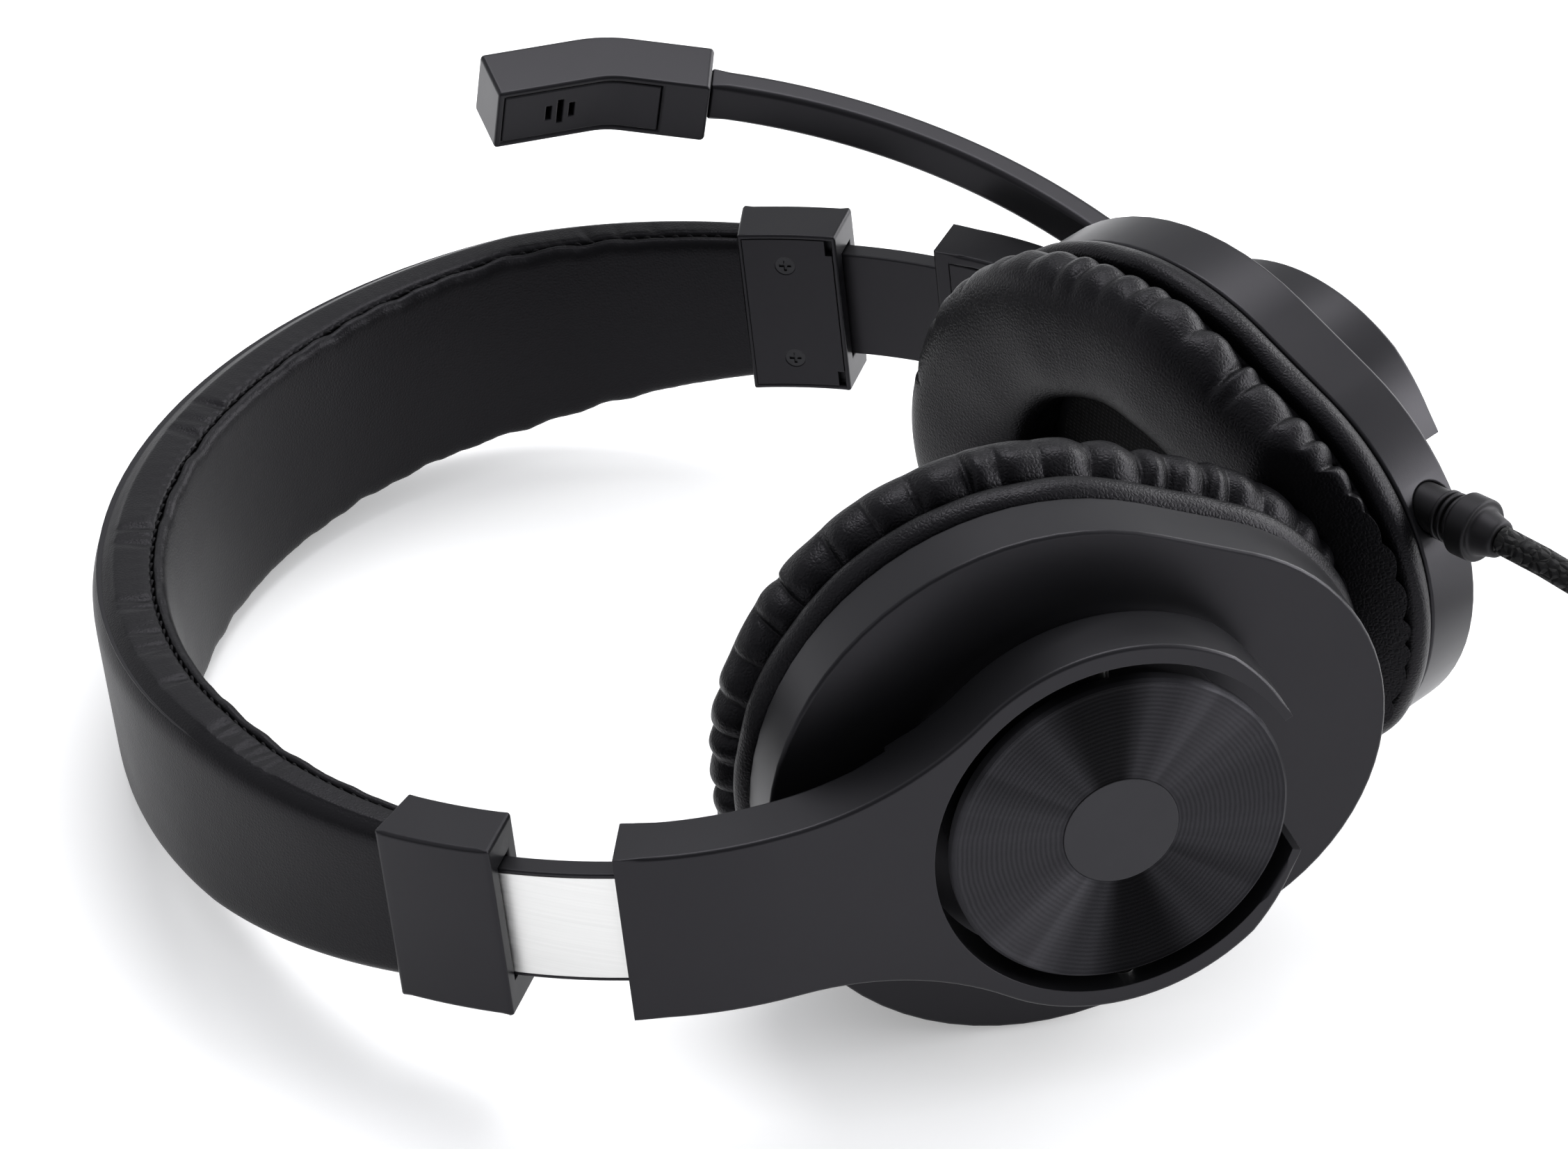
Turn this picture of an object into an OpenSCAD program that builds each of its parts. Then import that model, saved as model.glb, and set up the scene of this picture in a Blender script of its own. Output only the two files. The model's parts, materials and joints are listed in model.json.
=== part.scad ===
// Over-ear gaming headset with a swing-down boom microphone, lying on its side.
// Head frame: X runs from the crown to the ear-cup bottoms, Y from the plain cup to the
// boom cup, Z from the back of the head to the front. place() leans it onto the floor.

/* [Headband] */
// Half height of the band at the crown
band_half = 17; // [15:0.5:19]
// Half height of the band where it enters the clamps
band_end_half = 13.8; // [13:0.1:14.5]
// Radius of the band's outer face
band_r = 87; // [86:0.5:88]
// Thickness of the leatherette cover
cover_t = 1.2; // [0.8:0.1:1.5]
// Thickness of the sprung steel strip
strip_t = 0.8; // [0.5:0.1:1]

/* [Clamps and sliders] */
// Radius of the arc that the sliders follow, at the clamp's outer face
slide_r = 89.3; // [89:0.1:89.6]
// Wall-to-wall depth of a clamp
clamp_t = 9.7; // [9.6:0.1:10]
// Half height of a clamp
clamp_half = 15; // [14.5:0.5:16]
// Angle a clamp covers along the slide arc
clamp_arc = 11.9; // [11:0.1:12.5]
// Half height of a slider strip
slider_half = 9.7; // [9:0.1:10]
// Angle of slider showing between clamp and yoke, which is its whole travel
slider_show = 11.7; // [10:0.1:12]

/* [Yokes] */
// Depth of a yoke arm
yoke_t = 9; // [8.5:0.1:9.5]
// Half height of a yoke arm
yoke_half = 14.5; // [14:0.1:15]
// Radius of the bend in a yoke arm
yoke_bend_r = 60; // [58:1:62]
// Angle of the bend in a yoke arm
yoke_bend = 22.8; // [21:0.2:24]
// Straight length from the bend to the ring's centre
yoke_run = 50.8; // [50:0.1:52]
// Outer radius of the yoke ring
ring_r = 31.4; // [31:0.1:32]
// Inner radius of the yoke ring
ring_in = 28.4; // [28:0.1:28.8]
// Depth of the yoke ring
ring_t = 10; // [9:0.5:10]
// How far the boom side's yoke springs outward
boom_spread = 5.5; // [4:0.5:7]

/* [Ear cups] */
// Radius of the housing at the crown end
cup_r1 = 43.3; // [42:0.1:44]
// Radius of the housing at the chin end
cup_r2 = 35.3; // [34:0.1:36]
// Depth from the disc's face to the housing's face
face_off = 14.6; // [14:0.1:15]
// Depth from the disc's face to the end of the housing's wall
wall_off = 24.4; // [24:0.1:25]
// Depth from the disc's face to the cushion's face
cushion_off = 41.5; // [40:0.1:42]
// Width of the padded roll round the cushion's opening
cushion_w = 20; // [17:0.5:21]
// Radius of the turned disc in the yoke ring
disc_r = 25.8; // [25:0.1:26]

/* [Microphone boom] */
// Angle of the boom above its yoke arm
boom_up = 17; // [0:1:30]
// Straight length of the boom from the disc's centre
boom_run = 47; // [45:1:50]
// Radius of the boom's curve, at its inner face
boom_r = 100; // [95:1:110]
// Angle of the boom's curve
boom_bend = 43; // [38:1:45]
// Height of the boom
boom_h = 7.5; // [6:0.5:9]
// Thickness of the boom
boom_t = 4.6; // [4:0.1:5]
// Height of the microphone head
mic_h = 12; // [10:0.5:14]

/* [Cord] */
// Diameter of the braided cord
cord_d = 4.5; // [4.5:0.1:4.6]

/* [Hidden] */
$fn = 96;

// Centre of the arc that the sliders follow
arc_x = 24.5;
// Centre of the band's outer face
band_x = 19;
// Circle of the spring strip's outer face
strip_x = 17;
strip_r = 80.3;
strip_half = 9;
strip_end_x = 5;
// Radius of the inner pad's face, about the slide arc's centre
pad_r = 80.3;
// X where the band starts to get lower towards the clamps
taper_x = -30;
// X where the band reaches its end height
band_end_x = 6;
// Slider strip, as radii on the slide arc
slider_in = 82.9;
slider_out = 86.3;
// Angle of the clamp's cup-side face on the slide arc
clamp_a = 90;
// Clearance between parts of different bodies
gap = 0.3;
// Half angle of the ring's opening
ring_open = 24;
// Concave fillets between arm and ring
fillet_r = 50;
// How far the circle that thins the ring's tips is moved back and enlarged
tip_back = 6;
tip_grow = 4;
// Pivot axis depth, pin radius and reach
pin_off = 5;
pin_r = 1.5;
pin_end = 30.2;
// Centres of the two circles that make the housing's outline
egg_c1 = -5.8;
egg_c2 = 11.6;
// Radius and wall of the hub that fills the yoke ring
hub_r = 22.8;
hub_t = 2;
hub_floor = 4.4;
// Thickness of the turned disc and radius of its centre
disc_t = 2;
badge_r = 8.8;
// Thickness of the moulded shells
shell_t = 2;
// Driver sizes
driver_r = 20;
magnet_r = 10;
// Boom's spindle
spindle_r = 6;
// Height of the boom's inner face above the disc
boom_lift = 3.2;
// X of the cups' lowest points
cup_low_x = 85.4;
// Lean that brings the crown's lower edge and the cups down to the floor
lean = atan((cup_r1 - band_half) / (cup_low_x + band_r - band_x));
// Shift from the head frame to the middle of the object's base
shift = [-38.5, -3.8, 28.3];

BLACK = [0.06, 0.06, 0.07];
SATIN = [0.1, 0.1, 0.11];
LEATHER = [0.08, 0.08, 0.085];
STEEL = [0.75, 0.75, 0.74];
FOAM = [0.2, 0.2, 0.2];
BRASS = [0.8, 0.65, 0.3];

// ---- frames ----

// Stands the head frame on the floor, centred over the base.
module place() translate(shift) rotate([0, -lean, 0]) children();

// side is 1 for the boom cup and -1 for the plain cup.
module on_side(side) if (side > 0) children(); else mirror([0, 1, 0]) children();

function spread(side) = side > 0 ? boom_spread : 0;

// X along the arm, Y outward, origin on the yoke arm's outer face at its slider end.
module yoke_frame(side)
  place() on_side(side)
    translate([arc_x, 0, 0]) rotate([0, 0, -slider_show]) translate([0, slide_r, 0])
      rotate([0, 0, spread(side)]) children();

// X along the straight part of the yoke, Y outward, origin at the ring's centre.
module cup_frame(side)
  yoke_frame(side)
    translate([0, -yoke_bend_r, 0]) rotate([0, 0, -yoke_bend])
      translate([yoke_run, yoke_bend_r, 0]) children();

// Draws a flat outline from depth a to depth b behind the disc's face.
module deep(a, b) translate([0, -a, 0]) rotate([90, 0, 0]) linear_extrude(b - a) children();

// A slab on the slide arc, from angle a to b, radius r0 to r1 and height z0 to z1.
module arc_slab(r0, r1, z0, z1, a, b)
  translate([arc_x, 0, 0]) rotate([0, 0, a])
    rotate_extrude(angle = b - a, $fn = 180) translate([r0, z0]) square([r1 - r0, z1 - z0]);

// The same, of equal height above and below.
module arc_block(r0, r1, half, a, b) arc_slab(r0, r1, -half, half, a, b);

// A cylinder along the radius of the slide arc.
module arc_pin(a, z, r0, r1, r)
  translate([arc_x, 0, 0]) rotate([0, 0, a]) translate([r0, 0, z])
    rotate([0, 90, 0]) cylinder(r = r, h = r1 - r0, $fn = 32);

// ---- headband ----

// Everything on the cup side of the clamps' crown-side faces.
module beyond_clamps() {
  translate([arc_x - 10, -120, -50]) cube([200, 240, 100]);
  for (s = [-1, 1]) on_side(s)
    translate([arc_x, 0, -50]) rotate([0, 0, clamp_a + clamp_arc])
      translate([0, -60, 0]) cube([200, 60, 100]);
}

// A whole ring between an outer and an inner circle, lower towards the clamps by a planar cut.
module bow(ro, xo, ri, xi, half, end_half) {
  fall = atan((half - end_half) / (band_end_x - taper_x));
  difference() {
    translate([xo, 0, -half]) cylinder(r = ro, h = 2 * half, $fn = 180);
    translate([xi, 0, -half - 1]) cylinder(r = ri, h = 2 * half + 2, $fn = 180);
    for (m = [0, 1]) mirror([0, 0, m])
      translate([taper_x, -120, half]) rotate([0, fall, 0]) cube([200, 240, 20]);
  }
}

// The sliders' ends run in here when the band is at its smallest.
module slider_tunnel()
  for (s = [-1, 1]) on_side(s)
    arc_block(slider_in - gap, slider_out + gap, slider_half + 2.3, 95, 107);

module spring_strip() color(STEEL) place()
  difference() {
    translate([strip_x, 0, -strip_half]) cylinder(r = strip_r, h = 2 * strip_half, $fn = 180);
    translate([strip_x, 0, -strip_half - 1])
      cylinder(r = strip_r - strip_t, h = 2 * strip_half + 2, $fn = 180);
    translate([strip_end_x, -120, -strip_half - 1]) cube([200, 240, 2 * strip_half + 2]);
  }

module band_liner() color(SATIN) place()
  difference() {
    bow(band_r - cover_t, band_x, strip_r, strip_x, band_half - cover_t, band_end_half - cover_t);
    slider_tunnel();
    beyond_clamps();
  }

module outer_cover() color(LEATHER) place()
  difference() {
    bow(band_r, band_x, pad_r + 1.2, arc_x, band_half, band_end_half);
    bow(band_r - cover_t, band_x, pad_r - 4, arc_x, band_half - cover_t, band_end_half - cover_t);
    beyond_clamps();
  }

module inner_pad() color(LEATHER) place()
  difference() {
    bow(strip_r - strip_t, strip_x, pad_r, arc_x, band_half - cover_t, band_end_half - cover_t);
    beyond_clamps();
  }

// Angle, height and radii of a clamp's screws, and the floor of its cover recess.
screw_a = clamp_a + 6.5;
screw_z = 9;
clamp_in = slide_r - clamp_t;
recess = clamp_in + 1.3;

module clamp(side) color(BLACK) place() on_side(side) {
  a1 = clamp_a + clamp_arc;
  difference() {
    arc_block(clamp_in, slide_r, clamp_half, clamp_a, a1);
    arc_block(clamp_in - 1, recess, clamp_half - 0.9, clamp_a + 0.6, a1 - 0.5);
    arc_block(slider_in - gap, slider_out + gap, slider_half + gap, clamp_a - 1, a1 + 1);
    arc_block(slider_in - gap - 0.1, slider_out + gap + 0.1, slider_half + 2.3, clamp_a + 3, a1 + 2);
    // pocket for the click spring
    arc_block(recess - 1, slider_in, 4.3, clamp_a + 1.1, clamp_a + 3.3);
    for (z = [-1, 1]) arc_pin(screw_a, screw_z * z, clamp_in - 1, slider_in, 1);
  }
}

module clamp_cover(side) color(BLACK) place() on_side(side) {
  difference() {
    arc_block(clamp_in, recess, clamp_half - 0.9, clamp_a + 0.6, clamp_a + clamp_arc - 0.5);
    for (z = [-1, 1]) {
      arc_pin(screw_a, screw_z * z, clamp_in - 1, slider_in, 1);
      arc_pin(screw_a, screw_z * z, clamp_in - 1, clamp_in + 0.7, 1.7);
    }
    // stepped corners beside the slider's mouth
    for (m = [0, 1]) mirror([0, 0, m])
      arc_slab(clamp_in - 1, clamp_in + 3, clamp_half - 3.7, clamp_half, clamp_a, clamp_a + 1.4);
  }
}

module clamp_screws() color(STEEL) place()
  for (s = [-1, 1]) on_side(s) for (z = [-1, 1]) {
    arc_pin(screw_a, screw_z * z, clamp_in + 0.7, slider_in - gap - 0.3, 1);
    difference() {
      arc_pin(screw_a, screw_z * z, clamp_in + 0.1, clamp_in + 0.7, 1.7);
      for (t = [0, 90]) translate([arc_x, 0, 0]) rotate([0, 0, screw_a])
        translate([clamp_in, 0, screw_z * z]) rotate([t, 0, 0])
          cube([0.8, 0.5, 2], center = true);
    }
  }

module slider_detents() color(STEEL) place()
  for (s = [-1, 1]) on_side(s)
    arc_block(recess, slider_in - gap, 4, clamp_a + 1.4, clamp_a + 3);

// ---- sliding arms ----

// Start of the slider strip, inside the yoke, and the angle of its screws.
tail_a = 90 - slider_show - 6;
tail_screw_a = tail_a + 3;
tail_screw_z = 6;
plate_inset = 0.7;

module slider(side) color(BLACK) place() on_side(side)
  difference() {
    arc_block(slider_in, slider_out, slider_half + 2, tail_a, clamp_a + 5.2);
    for (m = [0, 1]) mirror([0, 0, m])
      arc_slab(slider_in - 1, slider_out + 1, slider_half, slider_half + 3, tail_a - 1, clamp_a + 3.3);
    arc_block(slider_out - 0.6, slider_out + 1, slider_half - plate_inset, tail_a + 4.5, clamp_a + 3);
    for (z = [-1, 1]) arc_pin(tail_screw_a, tail_screw_z * z, slider_in - 1, slider_out + 1, 1.2);
  }

module slider_plate(side) color(STEEL) place() on_side(side)
  arc_block(slider_out - 0.6, slider_out, slider_half - plate_inset, tail_a + 4.5, clamp_a + 3);

// The wedge that is missing from the ring.
module ring_gap() {
  c = 60 * cos(ring_open);
  w = 60 * sin(ring_open);
  polygon([[0, 0], [c, w], [c, -w]]);
}

// Outline of the yoke's flat part: arm, concave fillets and open ring.
module yoke_outline() {
  fv = yoke_half + fillet_r;
  fu = sqrt((ring_r + fillet_r) * (ring_r + fillet_r) - fv * fv);
  k = ring_r / (ring_r + fillet_r);
  difference() {
    union() {
      circle(r = ring_r, $fn = 180);
      translate([-yoke_run, -yoke_half]) square([yoke_run, 2 * yoke_half]);
      for (m = [0, 1]) mirror([0, m]) difference() {
        polygon([[-fu, 0], [-fu, yoke_half], [-fu * k, fv * k], [0, 0]]);
        translate([-fu, fv]) circle(r = fillet_r, $fn = 180);
      }
    }
    circle(r = ring_in, $fn = 180);
    ring_gap();
  }
}

// The arm's bent part, between depths a and b, half height h, from bend angle t0 to t1.
module yoke_arc(a, b, h, t0, t1)
  translate([0, -yoke_bend_r, 0]) rotate([0, 0, 90 - t1])
    rotate_extrude(angle = t1 - t0, $fn = 180)
      translate([yoke_bend_r - b, -h]) square([b - a, 2 * h]);

// Thickness of the yoke's walls, and angle of its closed end.
yoke_wall = 1.8;
yoke_end = 3;
yoke_lid = 1.4;

module yoke(side) color(BLACK)
  difference() {
    union() {
      yoke_frame(side) yoke_arc(0, yoke_t, yoke_half, 0, yoke_bend);
      cup_frame(side) deep(0, yoke_t) difference() {
        yoke_outline();
        translate([-ring_r, -50]) square([100, 100]);
      }
      cup_frame(side) deep(0, ring_t) intersection() {
        yoke_outline();
        translate([-ring_r, -50]) square([100, 100]);
        translate([-tip_back, 0]) circle(r = ring_r + tip_grow, $fn = 180);
      }
    }
    // pocket for the slider's tail, closed by the inner cover
    yoke_frame(side) yoke_arc(yoke_wall, yoke_t + 1, yoke_half - 2, yoke_end, yoke_bend - 1);
    place() on_side(side) {
      arc_block(slider_in, slider_out, slider_half, tail_a, 90);
      for (z = [-1, 1])
        arc_pin(tail_screw_a, tail_screw_z * z, slider_in - 2, slide_r - 1.2, 1.2);
    }
    head_room(side);
    cup_frame(side) for (m = [0, 1]) mirror([0, 0, m])
      translate([0, -pin_off, 20]) cylinder(r = pin_r + 0.05, h = pin_end - 19.6, $fn = 48);
  }

// Room for the heads of the slider's screws.
module head_room(side) place() on_side(side)
  for (z = [-1, 1])
    arc_pin(tail_screw_a, tail_screw_z * z, slider_in - 1, slider_in + 0.1, 2.1);

module yoke_cover(side) color(BLACK) difference() {
  yoke_frame(side) yoke_arc(yoke_t - yoke_lid, yoke_t, yoke_half - 2, yoke_end, yoke_bend - 1);
  head_room(side);
}

module yoke_screws(side) color(STEEL) place() on_side(side)
  for (z = [-1, 1]) {
    arc_pin(tail_screw_a, tail_screw_z * z, slider_in - 0.4, slide_r - 1.3, 1.15);
    arc_pin(tail_screw_a, tail_screw_z * z, slider_in - 0.8, slider_in - 0.05, 2);
  }

// ---- ear cups ----

// The housing's outline, grown or shrunk by g: two arcs joined by their common tangents.
function arc_points(c, r, a0, a1, n) =
  [for (k = [0 : n]) let (t = a0 + (a1 - a0) * k / n) [c + r * cos(t), r * sin(t)]];

module egg(g = 0) {
  a = acos((cup_r1 - cup_r2) / (egg_c2 - egg_c1));
  polygon(concat(
    arc_points(egg_c2, cup_r2 + g, -a, a, 26), arc_points(egg_c1, cup_r1 + g, a, 360 - a, 44)
  ));
}

// Where the three baffle screws go.
screw_spots = [[-34, 0], [22, 22], [22, -22]];

// Where the cord leaves the boom cup's chin-side wall.
relief_z = 15;
relief_off = 19.5;
relief_r = 3.6;

module relief_axis() cup_frame(1)
  translate([0, -relief_off, relief_z]) rotate([0, 90, 0]) children();

module housing(side) color(BLACK) difference() {
  cup_frame(side) difference() {
    union() {
      difference() {
        deep(face_off, wall_off) egg();
        deep(face_off + shell_t, wall_off + 1) egg(-shell_t);
      }
      for (p = screw_spots)
        deep(face_off + 1, wall_off) translate(p) circle(r = 2.8, $fn = 48);
    }
    for (p = screw_spots) deep(face_off + 4, wall_off + 1) translate(p) circle(r = 1, $fn = 48);
  }
  if (side > 0) relief_axis() translate([0, 0, 36]) cylinder(r = relief_r, h = 20, $fn = 48);
}

// The round hub that stands in the yoke's ring and carries the pivot pins.
module hub(side) color(BLACK) cup_frame(side) difference() {
  deep(side > 0 ? disc_t + gap : disc_t, face_off) circle(r = hub_r);
  deep(side > 0 ? hub_floor : 0, face_off - hub_t) circle(r = hub_r - hub_t);
  if (side > 0) deep(1, 6) circle(r = spindle_r + 0.05);
  for (m = [0, 1]) mirror([0, 0, m])
    translate([0, -pin_off, 15]) cylinder(r = pin_r, h = 12, $fn = 48);
}

module turned_disc() difference() {
  deep(0, disc_t) circle(r = disc_r, $fn = 180);
  deep(-1, 0.4) circle(r = badge_r);
}

module disc_near() color(SATIN) cup_frame(-1) {
  turned_disc();
  // snap ring inside the hub
  deep(disc_t, pin_off - pin_r - 0.1) difference() {
    circle(r = hub_r - hub_t);
    circle(r = hub_r - hub_t - 2);
  }
}

module badge(side) color(SATIN) cup_frame(side) deep(-0.1, 0.4) circle(r = badge_r);

module pivot_pins(side) color(STEEL) cup_frame(side)
  for (m = [0, 1]) mirror([0, 0, m])
    translate([0, -pin_off, hub_r - hub_t - 1])
      cylinder(r = pin_r, h = pin_end - hub_r + hub_t + 1, $fn = 48);

// Rings of sound holes, as radius and number of holes.
hole_rings = [[5, 6], [9.5, 10], [14, 14]];
plate_t = 2;
inner_g = -3.5;

module baffle(side) color(BLACK) cup_frame(side) difference() {
  deep(wall_off, wall_off + plate_t) egg(inner_g);
  for (h = hole_rings) for (i = [0 : h[1] - 1])
    rotate([0, 360 / h[1] * i, 0]) deep(wall_off - 1, wall_off + 3)
      translate([h[0], 0]) circle(r = 1.5, $fn = 24);
  for (p = screw_spots) {
    deep(wall_off - 1, wall_off + 3) translate(p) circle(r = 1, $fn = 48);
    deep(wall_off + 1, wall_off + 3) translate(p) circle(r = 2.2, $fn = 48);
  }
}

module driver_frame(side) color(SATIN) cup_frame(side) {
  deep(wall_off - 2.6, wall_off) difference() {
    circle(r = driver_r);
    circle(r = driver_r - 2);
  }
  deep(wall_off - 3.6, wall_off - 2.6) difference() {
    circle(r = driver_r);
    circle(r = 7.5);
  }
}

module driver_magnet(side) color(STEEL) cup_frame(side)
  deep(face_off + 2.6, wall_off - 3.6) circle(r = magnet_r);

module diaphragm(side) color(FOAM) cup_frame(side) {
  deep(wall_off - 0.9, wall_off - 0.5) circle(r = driver_r - 2);
  deep(wall_off - 2.9, wall_off - 0.9) difference() {
    circle(r = 7);
    circle(r = 6.4);
  }
}

module speaker_cloth(side) color(FOAM) cup_frame(side)
  deep(wall_off + plate_t, wall_off + plate_t + 0.4) egg(-cushion_w - 0.6);

module baffle_screws(side) color(STEEL) cup_frame(side) for (p = screw_spots) {
  deep(wall_off - 4, wall_off + 1) translate(p) circle(r = 1, $fn = 48);
  deep(wall_off + 1, wall_off + plate_t) translate(p) circle(r = 2.2, $fn = 48);
}

// Floor, and the plane midway between the cups where the soft cushions press together.
meet_x = 122.1;
meet_y = 6.4;
meet_turn = 2.75;

module pressed(side) difference() {
  children();
  translate([-300, -300, -100]) cube([600, 600, 100.1]);
  place() translate([meet_x, meet_y, 0]) rotate([0, 0, meet_turn])
    translate([-60, side > 0 ? -59.75 : -0.25, -60]) cube([120, 60, 120]);
}

// Depth of the leather skirt, and the cushion's layers: depths, outer and inner growth.
skirt_t = 5;
layers = [
  [wall_off + plate_t, wall_off + skirt_t + 0.3, inner_g, -0.4],
  [wall_off + skirt_t, cushion_off - 3.3, 1.5, 0],
  [cushion_off - 3.6, cushion_off - 1.2, -0.6, 1.4],
  [cushion_off - 1.4, cushion_off, -4, 4.6]
];

module cushion_skirt(side) color(LEATHER) pressed(side) cup_frame(side)
  deep(wall_off, wall_off + skirt_t) difference() {
    egg(0.8);
    egg(inner_g);
  }

// A padded roll in layers, widest at mid height.
module cushion(side) color(LEATHER) pressed(side) cup_frame(side)
  for (k = layers) deep(k[0], k[1]) difference() {
    egg(k[2]);
    egg(k[3] - cushion_w);
  }

module circuit_board() color([0.1, 0.35, 0.2]) cup_frame(1)
  deep(face_off + shell_t, face_off + shell_t + 1.6) translate([-30, 13]) square([20, 12]);

// Ribbed sleeve, collar and short taper, as distance along the axis and radius.
relief_ribs = 3;
relief_wall = 46;
relief_collar = 49.6;
relief_end = 57;

module strain_relief() color(BLACK) relief_axis() {
  translate([0, 0, 36]) cylinder(r = relief_r, h = relief_wall - 36, $fn = 48);
  translate([0, 0, relief_wall]) cylinder(r = 3.2, h = relief_collar - relief_wall, $fn = 48);
  for (i = [0 : relief_ribs - 1])
    translate([0, 0, relief_wall + 1.2 * i]) cylinder(r = 4, h = 0.7, $fn = 48);
  translate([0, 0, relief_collar]) cylinder(r = 5, h = 3.8, $fn = 48);
  translate([0, 0, relief_collar + 3.8])
    cylinder(r1 = 3.8, r2 = 2.9, h = relief_end - relief_collar - 3.8, $fn = 48);
}

// ---- boom ----

// X along the boom from the disc's centre, Y outward, turned up by boom_up.
module boom_frame() cup_frame(1) rotate([0, 180 + boom_up, 0]) mirror([0, 0, 1]) children();

// At the boom's far end, X on along it.
module mic_frame()
  boom_frame() translate([boom_run, boom_lift - boom_r, 0]) rotate([0, 0, -boom_bend])
    translate([0, boom_r, 0]) children();

module boom_disc() color(SATIN) cup_frame(1) {
  turned_disc();
  deep(disc_t, 6.4) circle(r = spindle_r);
}

// Spring clip on the spindle, under the hub's floor.
module boom_clip() color(STEEL) cup_frame(1) deep(hub_floor + gap, hub_floor + 1.1) difference() {
  circle(r = spindle_r + 2.4);
  circle(r = spindle_r);
}

// Where the boom's foot stands on the disc.
foot_x = 14;
foot_end = 22.5;

module boom_arm() color(BLACK) boom_frame() {
  translate([foot_x, 0, 0.4 - boom_h / 2])
    cube([foot_end - foot_x, boom_lift + 1, boom_h - 0.8]);
  // the straight part is a hair slimmer, so that it ends inside the curved part
  translate([foot_x, boom_lift + 0.1, 0.1 - boom_h / 2])
    cube([boom_run + 1 - foot_x, boom_t - 0.2, boom_h - 0.2]);
  translate([foot_x, 0, 0]) rotate([-90, 0, 0])
    cylinder(r = boom_h / 2 + 0.8, h = boom_lift + boom_t + 0.3, $fn = 64);
  translate([boom_run, boom_lift - boom_r, 0]) rotate([0, 0, 90 - boom_bend])
    rotate_extrude(angle = boom_bend, $fn = 180)
      translate([boom_r, -boom_h / 2]) square([boom_t, boom_h]);
}

// The microphone's head seen from its end: socket, knee, turn, and depth to each side.
mic_knee = 17;
mic_turn = 24;
mic_nose = 20;
mic_in = 3;
mic_out = 7.2;
mic_wall = 1.2;
mic_split = 8;

// Points round the knee at distance d from the head's centre line.
mic_bend_r = 15;
function knee_points(d, a0, a1) = [
  for (k = [0 : 6]) let (t = a0 + (a1 - a0) * k / 6)
    [mic_knee - mic_bend_r * tan(mic_turn / 2) + (mic_bend_r + d) * cos(t),
      (mic_bend_r + d) * sin(t) - mic_bend_r]
];

// Outline from distance a to b, with the inner and outer faces moved in by p and q.
module mic_plan(p, q, a, b) {
  c = cos(mic_turn);
  w = sin(mic_turn);
  i = p - mic_in;
  o = mic_out - q;
  n = b - mic_knee;
  polygon(concat(
    [[a, i]], knee_points(i, 90, 90 - mic_turn),
    [[mic_knee + i * w + n * c, i * c - n * w], [mic_knee + o * w + n * c, o * c - n * w]],
    knee_points(o, 90 - mic_turn, 90), [[a, o]]
  ));
}

module mic_slab(h) translate([0, 0, -h / 2]) linear_extrude(h) children();

module mic_shell() color(BLACK) mic_frame() difference() {
  mic_slab(mic_h) mic_plan(0, 0, 0, mic_knee + mic_nose);
  mic_slab(mic_h - 2 * mic_wall) mic_plan(-1, mic_wall + 0.4, mic_split, mic_knee + mic_nose - mic_wall);
  translate([-1, 0, -boom_h / 2]) cube([5, boom_t, boom_h]);
}

module mic_cover() color(BLACK) mic_frame() difference() {
  mic_slab(mic_h - 2 * mic_wall) difference() {
    mic_plan(0, 0, mic_split, mic_knee + mic_nose - mic_wall);
    mic_plan(mic_wall, -5, 0, 60);
  }
  nose_frame() for (i = [-1, 0, 1])
    translate([9 + 2 * i, -mic_in, 0]) cube([0.9, 6, i == 0 ? 5 : 3], center = true);
}

module nose_frame() translate([mic_knee, 0, 0]) rotate([0, 0, -mic_turn]) children();

module mic_capsule() color(STEEL) mic_frame() nose_frame()
  translate([9, mic_out - mic_wall - 0.4 - 4, 0]) rotate([-90, 0, 0]) cylinder(r = 3, h = 4);

// ---- cord ----

// Points that the cord follows, from inside the strain relief to inside the coil.
route = [
  [103.4, 9.1, 67.9], [106.9, 7.2, 68.4], [115, 3.4, 68.9], [124, 0.6, 67], [133, -1.2, 62.5],
  [141, -3, 55], [147.5, -5, 46], [153, -7.5, 36], [158, -10.5, 26], [164, -14.5, 16.5],
  [171.5, -19, 9], [181, -24, 4], [191, -27.8, 2.4], [201, -31, 2.4]
];
// Points of the short lead from the top of the coil to the plug.
lead = [
  [208, 26.8, 16], [200, 26.7, 15], [193.1, 28.1, 12.7], [187.3, 32, 9.4], [183.4, 37.8, 6.4],
  [182, 44.7, 4.7], [182, 48, 4.3]
];
cord_sides = 10;
coil_x = 212;
coil_y = -3;
coil_mid = 25;
coil_w = 14;
coil_h = 18.4;
plug_x = 182;
plug_y = 47;
plug_r = 4.3;

function unit(v) = v / norm(v);
function tangent(p, i) = unit(p[min(i + 1, len(p) - 1)] - p[max(i - 1, 0)]);
function ring(p, i, r, sides) =
  let (t = tangent(p, i), a = unit(cross(t, [0, 1, 0])), b = cross(t, a))
  [for (k = [0 : sides - 1]) p[i] + r * (cos(360 * k / sides) * a + sin(360 * k / sides) * b)];

// A tube of radius r through the points p.
module tube(p, r, sides) {
  n = len(p);
  polyhedron(
    points = [for (i = [0 : n - 1]) each ring(p, i, r, sides)],
    faces = concat(
      [[for (k = [0 : sides - 1]) sides - 1 - k]],
      [[for (k = [0 : sides - 1]) (n - 1) * sides + k]],
      [for (i = [0 : n - 2]) for (k = [0 : sides - 1]) let (m = (k + 1) % sides)
        [i * sides + k, i * sides + m, (i + 1) * sides + m, (i + 1) * sides + k]]
    )
  );
}

module cord_tube() color(BLACK) tube(route, cord_d / 2, cord_sides);

module cord_lead() color(BLACK) tube(lead, cord_d / 2, cord_sides);

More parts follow.
